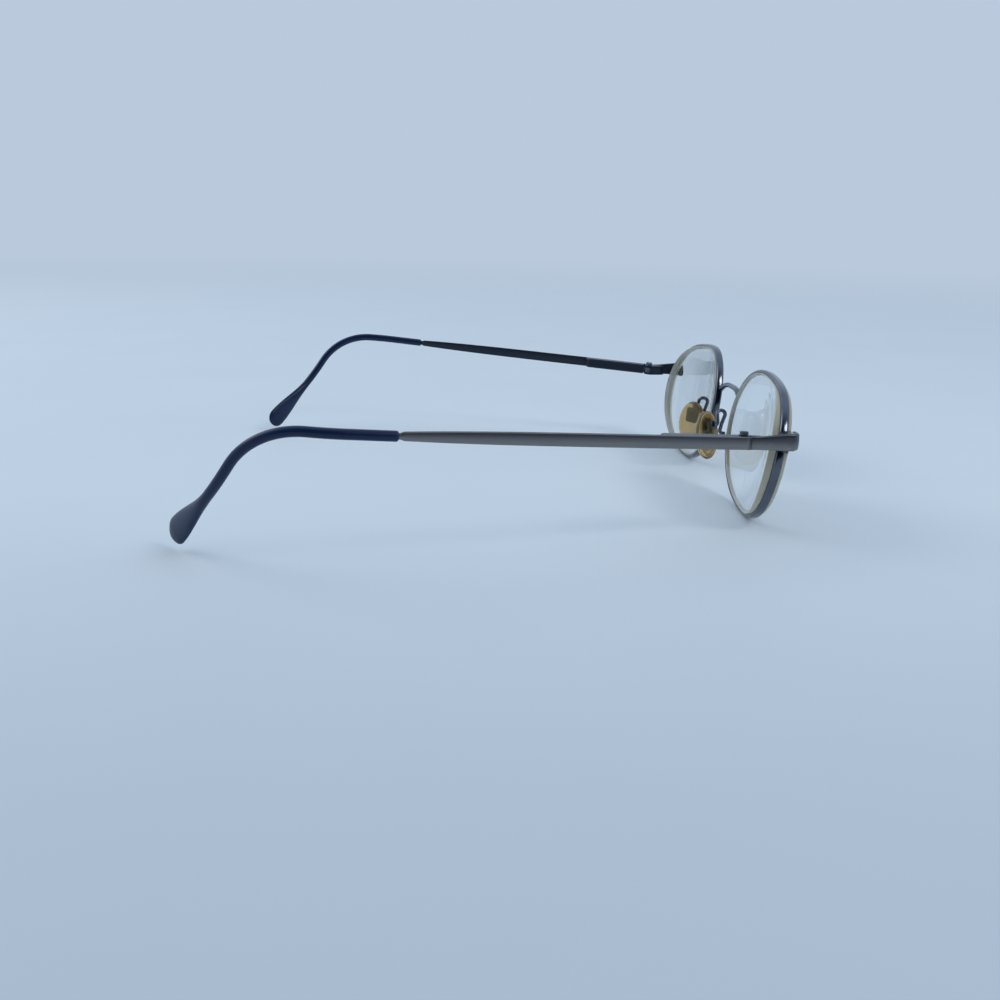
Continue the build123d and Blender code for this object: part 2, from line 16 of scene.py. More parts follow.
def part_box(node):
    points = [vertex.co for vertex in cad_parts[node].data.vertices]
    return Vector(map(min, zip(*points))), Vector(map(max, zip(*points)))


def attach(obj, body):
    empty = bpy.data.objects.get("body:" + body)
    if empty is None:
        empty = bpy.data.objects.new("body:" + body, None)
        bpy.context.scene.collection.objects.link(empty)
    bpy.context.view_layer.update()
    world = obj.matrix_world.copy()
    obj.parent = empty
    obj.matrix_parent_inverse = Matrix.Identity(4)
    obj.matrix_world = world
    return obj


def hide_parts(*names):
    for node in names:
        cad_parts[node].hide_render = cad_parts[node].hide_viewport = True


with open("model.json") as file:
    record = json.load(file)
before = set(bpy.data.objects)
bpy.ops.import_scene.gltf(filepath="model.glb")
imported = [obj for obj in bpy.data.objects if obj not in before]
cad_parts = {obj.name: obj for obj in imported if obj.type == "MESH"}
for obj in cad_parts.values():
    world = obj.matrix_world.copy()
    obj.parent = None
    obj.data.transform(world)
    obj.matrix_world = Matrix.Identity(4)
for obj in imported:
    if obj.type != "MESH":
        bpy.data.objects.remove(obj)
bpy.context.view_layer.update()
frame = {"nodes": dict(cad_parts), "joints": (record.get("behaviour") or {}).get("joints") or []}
nodes = frame["nodes"]
joints = {joint["name"]: joint for joint in frame["joints"]}

# %% [markdown]
# ## Sizes that the pieces share
# Sizes are written in millimetres, as a frame maker gives them, and MM turns them into metres when a
# mesh is made. Two flat frames carry most pieces: one on each lens, tilted so that the tops lean
# forward and the temple sides turn back, and one on the hinge, with X along the temple bar.

# %% Lens frame and hinge frame
MM = 0.001
LENS_WIDTH = 46.8
LENS_HEIGHT = 34.2
BRIDGE_GAP = 19.0
CORNER_FULLNESS = {45: 1.016, 135: 1.10, 225: 1.005, 315: 1.03}
BASE_RADIUS = 85.0
RIM_DEPTH = 2.1
RIM_THICKNESS = 0.9
HINGE_RISE = 6.35
tilt = radians(8.36)
wrap = radians(2.54)
lens_centre = Vector(((LENS_WIDTH + BRIDGE_GAP) / 2, -70.828, 17.684))


def matrix_from(origin, x_axis, y_axis, z_axis):
    """A frame with these axes, for points in millimetres."""
    turn = Matrix((x_axis, y_axis, z_axis)).transposed().to_4x4()
    return Matrix.Translation(origin) @ turn


lens_forward = Vector((sin(wrap), -cos(wrap) * cos(tilt), -cos(wrap) * sin(tilt)))
lens_aside = Vector((cos(wrap), sin(wrap) * cos(tilt), sin(wrap) * sin(tilt)))
lens_frame = matrix_from(lens_centre, lens_aside, lens_forward.cross(lens_aside), lens_forward)

hinge = Vector(joints["left_temple_fold"]["pos_m"]) / MM
along = Vector(joints["left_spring_travel"]["axis"])
inward = Vector((0, 0, 1)).cross(along).normalized()
bar_up = along.cross(inward)
temple_frame = matrix_from(hinge, along, inward, bar_up)
print("lens centre", lens_centre, "hinge", hinge)

# %% [markdown]
# ## The lens shape
# A lens is nearly an ellipse with four corners that are a little fuller or flatter. Its edge is given by
# how far it lies from the centre in eight directions. A short sum of cosines passes smoothly through
# all eight, which is how a lens tracer stores a shape too, and it is closed by its nature.

# %% Edge of the lens shape
half_width = LENS_WIDTH / 2
half_height = LENS_HEIGHT / 2


def lens_radius(angle):
    """Distance from the lens centre to its edge."""
    ellipse = half_width * half_height * sqrt(2) / sqrt(half_width**2 + half_height**2)
    total = 0.0
    for step in range(8):
        direction = step * 45
        if direction % 180 == 0:
            reach = half_width
        elif direction % 90 == 0:
            reach = half_height
        else:
            reach = ellipse * CORNER_FULLNESS[direction]
        turn = angle - radians(direction)
        total += reach * (1 + 2 * sum(cos(n * turn) for n in (1, 2, 3)) + cos(4 * turn)) / 8
    return total


def edge_point(angle, grow=0.0):
    """The point of the edge in this direction, pushed outwards by grow."""
    small = 1e-4
    reach = lens_radius(angle)
    slope = (lens_radius(angle + small) - lens_radius(angle - small)) / (2 * small)
    out = Vector((reach * cos(angle) + slope * sin(angle), reach * sin(angle) - slope * cos(angle)))
    return Vector((reach * cos(angle), reach * sin(angle))) + out.normalized() * grow


def sag(radius, reach):
    """How far a ball falls away from its tangent plane at this reach."""
    return radius - sqrt(radius**2 - reach**2)


print("lens edge at 0, 90 degrees", round(lens_radius(0), 2), round(lens_radius(pi / 2), 2))

# %% [markdown]
# ## Sums of nodes as plain Python
# Node trees for finishes and for geometry do a lot of arithmetic. The small class below wraps a node's
# socket, so that `1 - mask * 0.4` adds the Math nodes by itself. One function makes any other node.


# %% A socket that can be added and multiplied
class Term:
    """A socket of a node tree that takes part in sums."""

    def __init__(self, tree, socket):
        self.tree = tree
        self.socket = socket

    def math(self, operation, *values):
        return add_node(self.tree, "ShaderNodeMath", {"operation": operation}, dict(enumerate(values)))

    def __add__(self, other):
        return self.math("ADD", self, other)

    def __radd__(self, other):
        return self.math("ADD", other, self)

    def __sub__(self, other):
        return self.math("SUBTRACT", self, other)

    def __rsub__(self, other):
        return self.math("SUBTRACT", other, self)

    def __mul__(self, other):
        return self.math("MULTIPLY", self, other)

    def __rmul__(self, other):
        return self.math("MULTIPLY", other, self)

    def __truediv__(self, other):
        return self.math("DIVIDE", self, other)

    def __pow__(self, other):
        return self.math("POWER", self, other)

    def between(self, low, high):
        """0 below low, 1 above high, and smooth in between."""
        step = {"interpolation_type": "SMOOTHSTEP"}
        sizes = {"Value": self, "From Min": low, "From Max": high}
        return add_node(self.tree, "ShaderNodeMapRange", step, sizes)


def add_node(tree, kind, settings=None, sockets=None, output=0):
    """A node of this kind, with its settings and then its sockets filled in. Returns one output."""
    made = tree.nodes.new(kind)
    for name, value in (settings or {}).items():
        setattr(made, name, value)
    for name, value in (sockets or {}).items():
        if isinstance(value, Term):
            tree.links.new(value.socket, made.inputs[name])
        else:
            made.inputs[name].default_value = value
    return Term(tree, made.outputs[output])


print("sums of sockets are ready")

# %% [markdown]
# ## A finish and its coordinates
# Every finish is procedural. Its patterns read Object coordinates, which are the place on the glasses,
# because each finished piece sits at the origin. X is folded at the middle with an absolute value, so
# the left and right pieces get the same grain, as they come from one tool.


# %% Finish class
def srgb(red, green, blue, alpha=1.0):
    """A colour given as 0 to 255 screen values, as the linear colour that sockets take."""
    linear = []
    for value in (red, green, blue):
        share = value / 255
        linear.append(share / 12.92 if share <= 0.04045 else ((share + 0.055) / 1.055) ** 2.4)
    return (*linear, alpha)


class Finish:
    """A material under construction."""

    def __init__(self, name):
        self.material = bpy.data.materials.new(name)
        self.material.use_nodes = True
        self.tree = self.material.node_tree
        self.tree.nodes.clear()
        place = self.node("ShaderNodeTexCoord", output="Object")
        split = self.tree.nodes.new("ShaderNodeSeparateXYZ")
        self.tree.links.new(place.socket, split.inputs[0])
        self.x, self.y, self.z = (Term(self.tree, split.outputs[index]) for index in range(3))
        side = self.x.math("ABSOLUTE", self.x)
        self.place = self.join(side, self.y, self.z)

    def node(self, kind, settings=None, sockets=None, output=0):
        return add_node(self.tree, kind, settings, sockets, output)

    def join(self, x, y, z):
        return self.node("ShaderNodeCombineXYZ", None, {0: x, 1: y, 2: z})

    def reach(self, direction):
        """How far a point lies in this direction, in metres."""
        sockets = {0: self.place, 1: tuple(direction)}
        return self.node("ShaderNodeVectorMath", {"operation": "DOT_PRODUCT"}, sockets, "Value")

    def noise(self, scale, detail=3.0, roughness=0.55, vector=None):
        """Soft noise with about this many lumps per metre, from 0 to 1."""
        sockets = {"Vector": vector or self.place, "Scale": scale}
        sockets.update({"Detail": detail, "Roughness": roughness})
        return self.node("ShaderNodeTexNoise", None, sockets)

    def grain(self, direction, lines, stretch=40.0):
        """Fine lines along a direction, as a brush or a belt leaves them."""
        run = self.reach(direction) * (1 / stretch)
        across = Vector(direction).orthogonal().normalized()
        over = Vector(direction).cross(across).normalized()
        vector = self.join(run, self.reach(across), self.reach(over))
        return self.noise(lines, 4.0, 0.6, vector)

    def mix(self, factor, first, second):
        settings = {"data_type": "RGBA", "clamp_factor": True}
        return self.node("ShaderNodeMix", settings, {0: factor, 6: first, 7: second}, 2)

    def bump(self, height, distance, strength=1.0):
        sockets = {"Height": height, "Distance": distance, "Strength": strength}
        return self.node("ShaderNodeBump", None, sockets)

    def surface(self, **values):
        """The main shader; words with underscores name its sockets."""
        sockets = {name.replace("_", " "): value for name, value in values.items()}
        return self.node("ShaderNodeBsdfPrincipled", None, sockets)

    def close(self, shader):
        self.node_out = self.tree.nodes.new("ShaderNodeOutputMaterial")
        self.tree.links.new(shader.socket, self.node_out.inputs[0])
        print("finish", self.material.name, "with", len(self.tree.nodes), "nodes")
        return self.material


# %% [markdown]
# ## Metals
# The rims, bridge and pad arms are plated dark and polished, so they show the room as near-black with
# bright streaks. A metal's Base Color is its reflection colour, so a dark one gives gunmetal. Handling
# leaves a faint uneven haze, which goes into Roughness, and the plating is a little lighter in places.


# %% Polished gunmetal
def make_rim_metal():
    finish = Finish("polished_gunmetal")
    haze = finish.noise(260.0, 4.0)
    wear = finish.noise(1500.0, 5.0, 0.7).between(0.52, 0.75)
    colour = finish.mix(haze, srgb(78, 84, 96), srgb(112, 118, 128))
    colour = finish.mix(wear * 0.3, colour, srgb(128, 134, 142))
    roughness = 0.1 + haze * 0.1 + wear * 0.1
    normal = finish.bump(finish.noise(3200.0, 3.0), 0.00001, 0.25)
    return finish.close(
        finish.surface(Base_Color=colour, Metallic=1.0, Roughness=roughness, Normal=normal)
    )


rim_metal = make_rim_metal()

# %% [markdown]
# The temple bars and the endpieces are satin: a belt drawn along the bar leaves fine lines. The lines
# are noise stretched forty times along the bar. They vary the colour, the roughness and the bump
# together, because a real scratch changes all three. A painted shade darkens the colour towards the top
# of the bar.


# %% Satin gunmetal
def make_bar_metal():
    finish = Finish("satin_gunmetal")
    lines = finish.grain(along, 5200.0)
    broad = finish.noise(90.0, 2.0)
    scratches = finish.noise(900.0, 6.0, 0.75).between(0.6, 0.72)
    colour = finish.mix(lines, srgb(118, 117, 117), srgb(154, 151, 147))
    colour = finish.mix(broad * 0.5, colour, srgb(128, 127, 128))
    colour = finish.mix(scratches * 0.3, colour, srgb(190, 188, 184))
    # Painted shade: the colour turns darker towards the top of the bar, on the bars and on the endpieces.
    height = finish.reach(bar_up) - hinge.dot(bar_up) * MM
    colour = finish.mix(height.between(-0.0008, 0.0016) * 0.75, colour, srgb(72, 76, 88))
    roughness = 0.27 + lines * 0.14 + broad * 0.06
    normal = finish.bump(lines, 0.00002, 0.35)
    return finish.close(
        finish.surface(Base_Color=colour, Metallic=1.0, Roughness=roughness, Normal=normal)
    )


bar_metal = make_bar_metal()

# %% [markdown]
# The faces of the bars that lie against the head, and the spring housings on them, get a painted shade:
# smooth and almost black, with a green-blue cast, and a little real wear.


# %% Painted shade with wear, for the inner faces
def make_painted_shade_and_wear():
    finish = Finish("painted_shade_and_wear")
    cloud = finish.noise(160.0, 3.0)
    wear = finish.noise(1100.0, 5.0, 0.7).between(0.6, 0.74)
    # Painted shade: the near-black colours stand in for shade on the inner faces. The light flecks below
    # are wear.
    colour = finish.mix(cloud, srgb(6, 20, 38), srgb(14, 32, 50))
    colour = finish.mix(wear * 0.25, colour, srgb(92, 104, 110))
    roughness = 0.3 + cloud * 0.12 + wear * 0.15
    normal = finish.bump(finish.grain(along, 4200.0), 0.00001, 0.2)
    return finish.close(
        finish.surface(Base_Color=colour, Metallic=0.2, Roughness=roughness, Normal=normal)
    )


painted_shade_and_wear = make_painted_shade_and_wear()

# %% [markdown]
# Small screws are plain dark steel. A screwdriver and years of skin have marked their heads, so their
# roughness changes in spots and a few bright worn flecks show.


# %% Worn screw steel
def make_screw_steel():
    finish = Finish("worn_screw_steel")
    spots = finish.noise(2600.0, 5.0, 0.7)
    bright = spots.between(0.55, 0.68)
    colour = finish.mix(bright, srgb(104, 108, 114), srgb(186, 188, 190))
    roughness = 0.3 + spots * 0.3
    normal = finish.bump(spots, 0.00006, 0.6)
    return finish.close(
        finish.surface(Base_Color=colour, Metallic=1.0, Roughness=roughness, Normal=normal)
    )


screw_steel = make_screw_steel()

# %% [markdown]
# ## Plastics
# The temple tips are dark navy plastic with a satin gloss. Handling polishes them unevenly, and very
# fine scratches run along them. A thin coat gives the crisp highlight over the softer body.


# %% Tip plastic
def make_tip_plastic():
    finish = Finish("navy_tip_plastic")
    cloud = finish.noise(140.0, 3.0)
    scuffs = finish.grain(along, 2600.0, 18.0).between(0.56, 0.74)
    colour = finish.mix(cloud, srgb(12, 28, 56), srgb(22, 48, 88))
    colour = finish.mix(scuffs * 0.12, colour, srgb(54, 78, 116))
    roughness = 0.26 + cloud * 0.14 + scuffs * 0.12
    normal = finish.bump(finish.noise(1800.0, 4.0), 0.00002, 0.2)
    return finish.close(
        finish.surface(
            Base_Color=colour,
            Roughness=roughness,
            Normal=normal,
            Specular_IOR_Level=0.25,
            Coat_Weight=0.12,
            Coat_Roughness=0.2,
        )
    )


tip_plastic = make_tip_plastic()

# %% [markdown]
# The nose pads are soft clear plastic that has aged to amber. Light passes through, so Transmission
# carries most of the look, with a deeper orange where the pad is thick or dirty. The colour clouds are
# slow noise, and a fine grain in the roughness dulls the surface.


# %% Aged pad plastic
def make_pad_plastic():
    finish = Finish("amber_pad_plastic")
    cloud = finish.noise(420.0, 3.0)
    specks = finish.noise(2400.0, 4.0).between(0.58, 0.72)
    colour = finish.mix(cloud, srgb(234, 208, 154), srgb(210, 172, 108))
    colour = finish.mix(specks * 0.3, colour, srgb(160, 112, 62))
    roughness = 0.1 + cloud * 0.12
    normal = finish.bump(finish.noise(1300.0, 3.0), 0.00003, 0.25)
    return finish.close(
        finish.surface(
            Base_Color=colour,
            Roughness=roughness,
            Normal=normal,
            IOR=1.42,
            Transmission_Weight=0.85,
        )
    )


pad_plastic = make_pad_plastic()

# %% [markdown]
# ## Lens finishes
# A lens needs two finishes. Its faces are clear plastic that bends light, which Transmission and the IOR
# do: seen from the side, the far edge of the lens then looks thin, as it does in a real one. Faint wiping
# streaks and smears change the roughness only a little, so the lens stays clear.


# %% Clear lens face
def make_lens_clear():
    finish = Finish("clear_lens")
    streaks = finish.grain((0, 0, 1), 420.0, 30.0).between(0.45, 0.8)
    smears = finish.noise(160.0, 4.0).between(0.5, 0.85)
    colour = finish.mix(streaks, srgb(246, 249, 250), srgb(252, 253, 254))
    roughness = 0.01 + smears * 0.04 + streaks * 0.02
    return finish.close(
        finish.surface(Base_Color=colour, Roughness=roughness, IOR=1.5, Transmission_Weight=1.0)
    )


lens_clear = make_lens_clear()

# %% [markdown]
# The edge is ground by a wheel and left matt. Light caught in the plastic makes it cream. Some light
# still comes through, so Transmission is partly on, and fine lines show where the wheel ran.


# %% Ground lens edge
def make_lens_edge():
    finish = Finish("ground_lens_edge")
    lines = finish.grain(lens_forward, 900.0, 0.08)
    cloud = finish.noise(120.0, 3.0)
    colour = finish.mix(cloud, srgb(214, 206, 176), srgb(234, 226, 200))
    colour = finish.mix(lines * 0.6, colour, srgb(246, 240, 220))
    roughness = 0.42 + lines * 0.2
    normal = finish.bump(lines, 0.00004, 0.4)
    return finish.close(
        finish.surface(
            Base_Color=colour,
            Roughness=roughness,
            Normal=normal,
            IOR=1.5,
            Transmission_Weight=0.4,
        )
    )


lens_edge = make_lens_edge()

# %% [markdown]
# ## Handing a piece to the frame
# A mesh is made in millimetres in its own frame. The helper below turns it into the shared frame in
# metres, and makes the twin by mirroring it and turning its faces round again, since a mirror turns a
# mesh inside out. Each piece then rides on a body and stands for its CAD node.


# %% Left piece and its mirrored twin
def hand_over(mesh, node, body):
    """Makes the left and right pieces that stand for a CAD node, from a left mesh in millimetres."""
    mesh.transform(Matrix.Scale(MM, 4))
    for side in ("left", "right"):
        copy = mesh.copy()
        copy.name = f"{side}_{node}_shape"
        if side == "right":
            copy.transform(Matrix.Scale(-1, 4, Vector((1, 0, 0))))
            copy.flip_normals()
        piece = bpy.data.objects.new(f"{side}_{node}_look", copy)
        bpy.context.scene.collection.objects.link(piece)
        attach(piece, body.format(side=side))
        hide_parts(f"{side}_{node}")
    print(node, "faces", len(mesh.polygons))


def mesh_from_rings(name, rings, materials, band=None):
    """Joins rings of points into a skin, and closes it with a fan at each end."""
    shape = bmesh.new()
    rows = [[shape.verts.new(point) for point in ring] for ring in rings]
    count = len(rows[0])
    for number, (near, far) in enumerate(zip(rows, rows[1:])):
        for index in range(count):
            after = (index + 1) % count
            face = shape.faces.new((near[index], near[after], far[after], far[index]))
            face.material_index = band(number) if band else 0
    for row, turned in ((rows[0], True), (rows[-1], False)):
        middle = shape.verts.new(sum((v.co for v in row), Vector()) / count)
        for index in range(count):
            corner = (row[index], row[(index + 1) % count], middle)
            shape.faces.new(corner[::-1] if turned else corner)
    bmesh.ops.recalc_face_normals(shape, faces=shape.faces)
    mesh = bpy.data.meshes.new(name)
    shape.to_mesh(mesh)
    shape.free()
    for material in materials:
        mesh.materials.append(material)
    mesh.shade_smooth()
    return mesh


print("helpers ready")

# %% [markdown]
# ## Geometry Nodes helper
# A rim and a temple tip are sections swept along a path, so Geometry Nodes make them, and their sizes
# stay visible as inputs. The helper builds a tree with named inputs, runs it on a curve and returns the
# plain mesh.


# %% Run a tree on a curve
def grow(name, spline_points, radii, closed, sizes, build):
    """Runs a tree on a poly curve. sizes are its named inputs, and build adds its nodes."""
    curve = bpy.data.curves.new(name, "CURVE")
    curve.dimensions = "3D"
    spline = curve.splines.new("POLY")
    spline.points.add(len(spline_points) - 1)
    for point, place, radius in zip(spline.points, spline_points, radii):
        point.co = (*place, 1.0)
        point.radius = radius
    spline.use_cyclic_u = closed
    carrier = bpy.data.objects.new(name, curve)
    bpy.context.scene.collection.objects.link(carrier)
    tree = bpy.data.node_groups.new(name, "GeometryNodeTree")
    tree.interface.new_socket("Path", in_out="INPUT", socket_type="NodeSocketGeometry")
    for title in sizes:
        tree.interface.new_socket(title, in_out="INPUT", socket_type="NodeSocketFloat")
    tree.interface.new_socket("Shape", in_out="OUTPUT", socket_type="NodeSocketGeometry")
    start = tree.nodes.new("NodeGroupInput")
    inputs = {title: Term(tree, start.outputs[title]) for title in ("Path", *sizes)}
    shape, material = build(tree, inputs)
    shape = add_node(tree, "GeometryNodeRealizeInstances", None, {0: shape})
    shape = add_node(tree, "GeometryNodeSetMaterial", None, {"Geometry": shape, "Material": material})
    end = tree.nodes.new("NodeGroupOutput")
    tree.links.new(shape.socket, end.inputs[0])
    modifier = carrier.modifiers.new("sweep", "NODES")
    modifier.node_group = tree
    for item in tree.interface.items_tree:
        if item.in_out == "INPUT" and item.name in sizes:
            modifier[item.identifier] = float(sizes[item.name])
    evaluated = carrier.evaluated_get(bpy.context.evaluated_depsgraph_get())
    mesh = bpy.data.meshes.new_from_object(evaluated)
    carrier.modifiers.remove(modifier)
    bpy.data.objects.remove(carrier)
    mesh.shade_smooth()
    return mesh


print("tree helper ready")

# %% [markdown]
# ## Rims
# Each rim is a wire with a rounded outer face that follows the lens edge over the base curve of the
# lens. It is cut once at the temple side, where the lock screw pulls it shut round the lens. The tree
# trims the path there, sweeps the section along the rest and caps the ends. The section comes from a
# circle that is squared a little and flattened inside, where it meets the lens.


# %% Rim tree
SPLIT_ANGLE = 0.275
SPLIT_GAP = 0.3


def rim_tree(tree, sizes):
    """Nodes that sweep the rim's section along its path."""
    upright = add_node(tree, "GeometryNodeSetCurveNormal", {"mode": "Z_UP"}, {0: sizes["Path"]})
    section = add_node(tree, "GeometryNodeCurvePrimitiveCircle", None, {"Resolution": 36, "Radius": 1.0})
    place = add_node(tree, "GeometryNodeInputPosition")
    split = tree.nodes.new("ShaderNodeSeparateXYZ")
    tree.links.new(place.socket, split.inputs[0])
    out = Term(tree, split.outputs[0])
    fore = Term(tree, split.outputs[1])
    size = fore.math("ABSOLUTE", fore)
    squared = fore.math("SIGN", fore) * size ** sizes["Squareness"]
    bulge = out.math("MAXIMUM", out, 0.0) ** sizes["Squareness"]
    moved = add_node(
        tree,
        "ShaderNodeCombineXYZ",
        None,
        {0: bulge * sizes["Thickness"], 1: squared * sizes["Depth"] * 0.5, 2: 0.0},
    )
    section = add_node(tree, "GeometryNodeSetPosition", None, {"Geometry": section, "Position": moved})
    sockets = {"Curve": upright, "Profile Curve": section, "Fill Caps": True}
    return add_node(tree, "GeometryNodeCurveToMesh", None, sockets), rim_metal


RIM_POINTS = 220
rim_path = []
half_cut = SPLIT_GAP / 2 / lens_radius(SPLIT_ANGLE)
for index in range(RIM_POINTS + 1):
    angle = SPLIT_ANGLE + half_cut + (2 * pi - 2 * half_cut) * index / RIM_POINTS
    flat = edge_point(angle)
    rim_path.append((flat.x, flat.y, -sag(BASE_RADIUS, flat.length)))
rim_sizes = {"Thickness": RIM_THICKNESS, "Depth": RIM_DEPTH, "Squareness": 0.62}
rim_mesh = grow("rim_sweep", rim_path, [1.0] * len(rim_path), False, rim_sizes, rim_tree)
rim_mesh.transform(lens_frame)
hand_over(rim_mesh, "rim", "front")

# %% [markdown]
# ## Lenses
# A lens is two spherical faces joined by a ground edge. The curves are not centred on the lens shape,
# so the edge is thin at the nose and thick at the temple. Rings of points follow the lens shape from
# the middle of the front, over the edge, to the middle of the rear. The faces between the last front
# ring and the first rear ring are the edge and get the ground finish.

# %% Lens skin
LENS_POINTS = 160
LENS_RINGS = 14
FRONT = {"radius": BASE_RADIUS, "shift": 1.4, "middle": 1.5}
REAR = {"radius": 60.0, "shift": -1.8, "middle": -0.5}
SAFETY_BEVEL = 0.16


def face_height(curve, x, y):
    """Height of one lens face above the lens plane."""
    reach = sqrt((x - curve["shift"]) ** 2 + y**2)
    return curve["middle"] - sag(curve["radius"], reach)


def lens_ring(share, curve, lift=0.0, shrink=0.0):
    """One ring of a lens face, at a share of the way out from the middle."""
    ring = []
    for index in range(LENS_POINTS):
        flat = edge_point(2 * pi * index / LENS_POINTS, -0.03 - shrink) * share
        ring.append(Vector((flat.x, flat.y, face_height(curve, flat.x, flat.y) + lift)))
    return ring


shares = [sin(pi / 2 * (step + 1) / LENS_RINGS) for step in range(LENS_RINGS)]
front_rings = [lens_ring(share, FRONT, 0.0, SAFETY_BEVEL) for share in shares]
rear_rings = [lens_ring(share, REAR, 0.0, SAFETY_BEVEL) for share in reversed(shares)]
edge_rings = [lens_ring(1.0, FRONT, -SAFETY_BEVEL), lens_ring(1.0, REAR, SAFETY_BEVEL)]


def lens_band(number):
    """1 for the ground edge, 0 for the clear faces."""
    return 1 if LENS_RINGS - 1 <= number <= LENS_RINGS + 1 else 0


lens_mesh = mesh_from_rings(
    "lens_skin", front_rings + edge_rings + rear_rings, [lens_clear, lens_edge], band=lens_band
)
lens_mesh.transform(lens_frame)
hand_over(lens_mesh, "lens", "front")

# %% [markdown]
# ## Temple bars
# A bar is a flat strip with softly rounded edges and a slightly crowned outer face, drawn down to a
# neck where it enters the tip. The rounding and the crown matter: they catch the thin bright and dark
# lines that make sheet metal look real. One section is repeated along the bar, with its height from a
# formula. The inner face, which lies against the head, gets a near-black painted shade, so it is a second
# finish.

# %% Bar section
BAR_LENGTH = 81.0
BAR_THICKNESS = 1.0
BAR_HALF = 1.5
BAR_TAPER = 0.55
BAR_OUTER = -2.6
EDGE_ROUNDING = 0.16
CROWN = 0.14
CORNER_STEPS = 4
FACE_STEPS = 8


def strip_section(bottom, top, outer, inner, crown=CROWN, rounding=EDGE_ROUNDING):
    """Points of a flat strip's section, as (inwards, upwards), from the outer face's top round to it."""
    points = []
    middle = (top + bottom) / 2
    for step in range(FACE_STEPS + 1):
        up = bottom + rounding + (top - bottom - 2 * rounding) * step / FACE_STEPS
        share = (up - middle) / (top - bottom) * 2
        points.append((outer + crown * share**2, up))
    outer_edge = outer + crown
    ends = [(outer_edge, top), (inner, top), (inner, bottom), (outer_edge, bottom)]
    for corner, (side, up) in enumerate(ends):
        middle_side = side + (rounding if side < inner else -rounding)
        middle_up = up + (-rounding if up == top else rounding)
        for step in range(1, CORNER_STEPS + (1 if corner in (1, 2) else 0)):
            angle = pi - pi / 2 * (corner + step / CORNER_STEPS)
            points.append((middle_side + rounding * cos(angle), middle_up + rounding * sin(angle)))
    return points


def bar_half_height(x):
    """Half the bar's height, which is even at first and then falls faster and faster."""
    share = max(0.0, (x - 0.2 * BAR_LENGTH) / (0.8 * BAR_LENGTH - 1.2))
    return BAR_HALF - BAR_TAPER * share**4


BAR_START = -0.6
BAR_END = BAR_LENGTH - 1.4
BAR_STATIONS = 60
NECK_STATIONS = 5
NECK_RUN = 1.1
NECK_DROP = 0.3
NECK_THINNING = 0.1
bar_stations = []
for station in range(BAR_STATIONS + 1):
    x = BAR_START + (BAR_END - BAR_START) * station / BAR_STATIONS
    bar_stations.append((x, bar_half_height(x), BAR_THICKNESS))
neck_height = bar_stations[-1][1]
for step in range(1, NECK_STATIONS + 1):
    share = step / NECK_STATIONS
    drop = share * share * (3 - 2 * share)
    half = neck_height - NECK_DROP * drop
    bar_stations.append((BAR_END + NECK_RUN * share, half, BAR_THICKNESS - NECK_THINNING * drop))
bar_stations.append((BAR_LENGTH + 0.3, neck_height - NECK_DROP, BAR_THICKNESS - NECK_THINNING))
bar_rings = []
for x, half, thickness in bar_stations:
    section = strip_section(-half, half, BAR_OUTER, BAR_OUTER + thickness)
    bar_rings.append([Vector((x, side, up)) for side, up in section])
bar_mesh = mesh_from_rings("bar_skin", bar_rings, [bar_metal, painted_shade_and_wear])
# Faces turned inwards get the near-black painted shade.
for face in bar_mesh.polygons:
    if face.normal.y > 0.7:
        face.material_index = 1
bar_mesh.transform(temple_frame)
hand_over(bar_mesh, "temple_bar", "{side}_temple")

# %% [markdown]
# ## Endpieces
# An endpiece is a strip of the same kind. It starts in front of the rim lock, turns the corner on a
# small radius and runs back to the butt joint, where it is cut square to the temple. The section is
# carried along that path, and the last ring is slid onto the cutting plane.

# %% Endpiece path
CORNER_X = lens_centre.x + half_width + RIM_THICKNESS + 1.9
FRONT_Y = lens_centre.y + 0.15
STRIP_START = 55.65
STRIP = 1.15
STRIP_DEPTH = 11.6
STRIP_RISE = 2.2
STRIP_DROP = 1.8
CORNER_RADIUS = 1.9
CORNER_STATIONS = 12
SIDE_STATIONS = 14
SIDE_STEP = 0.68
END_ROUNDING = 0.42
TAPER_START = 3.0
TAPER_END = 5.0
FLARE = Vector((0.5, STRIP_DEPTH)).normalized()
SEAM = 0.21
BUTT_PLANE = BAR_START - SEAM
HINGE_Z = lens_centre.z + HINGE_RISE
corner_middle = Vector((CORNER_X - CORNER_RADIUS, FRONT_Y + CORNER_RADIUS))
path = [(Vector((STRIP_START, FRONT_Y)), Vector((0, -1)))]
last_angle = -atan2(FLARE.x, FLARE.y)
for step in range(CORNER_STATIONS + 1):
    angle = -pi / 2 + (last_angle + pi / 2) * step / CORNER_STATIONS
    out = Vector((cos(angle), sin(angle)))
    path.append((corner_middle + out * CORNER_RADIUS, out))
side_start, side_out = path[-1]
for step in range(1, SIDE_STATIONS + 1):
    path.append((side_start + FLARE * step * SIDE_STEP, side_out))
endpiece_rings = []
for place, out in path:
    back = min(1.0, max(0.0, (place.y - FRONT_Y - TAPER_START) / (STRIP_DEPTH - TAPER_END)))
    top = STRIP_RISE + (BAR_HALF - STRIP_RISE) * back
    bottom = -STRIP_DROP + (STRIP_DROP - BAR_HALF) * back
    ring = []
    rounding = END_ROUNDING + (EDGE_ROUNDING - END_ROUNDING) * back
    for side, rise in strip_section(bottom, top, 0.0, STRIP, CROWN, rounding):
        spot = place - out * side
        ring.append(Vector((spot.x, spot.y, HINGE_Z + rise)))
    endpiece_rings.append(ring)
run = Vector((FLARE.x, FLARE.y, 0.0))
for index, point in enumerate(endpiece_rings[-1]):
    missing = BUTT_PLANE - (point - hinge).dot(along)
    endpiece_rings[-1][index] = point + run * (missing / run.dot(along))
endpiece_mesh = mesh_from_rings("endpiece_skin", endpiece_rings, [bar_metal, painted_shade_and_wear])
# Faces turned towards the head get the near-black painted shade.
for face in endpiece_mesh.polygons:
    if face.normal.x < -0.6:
        face.material_index = 1
hand_over(endpiece_mesh, "endpiece", "front")

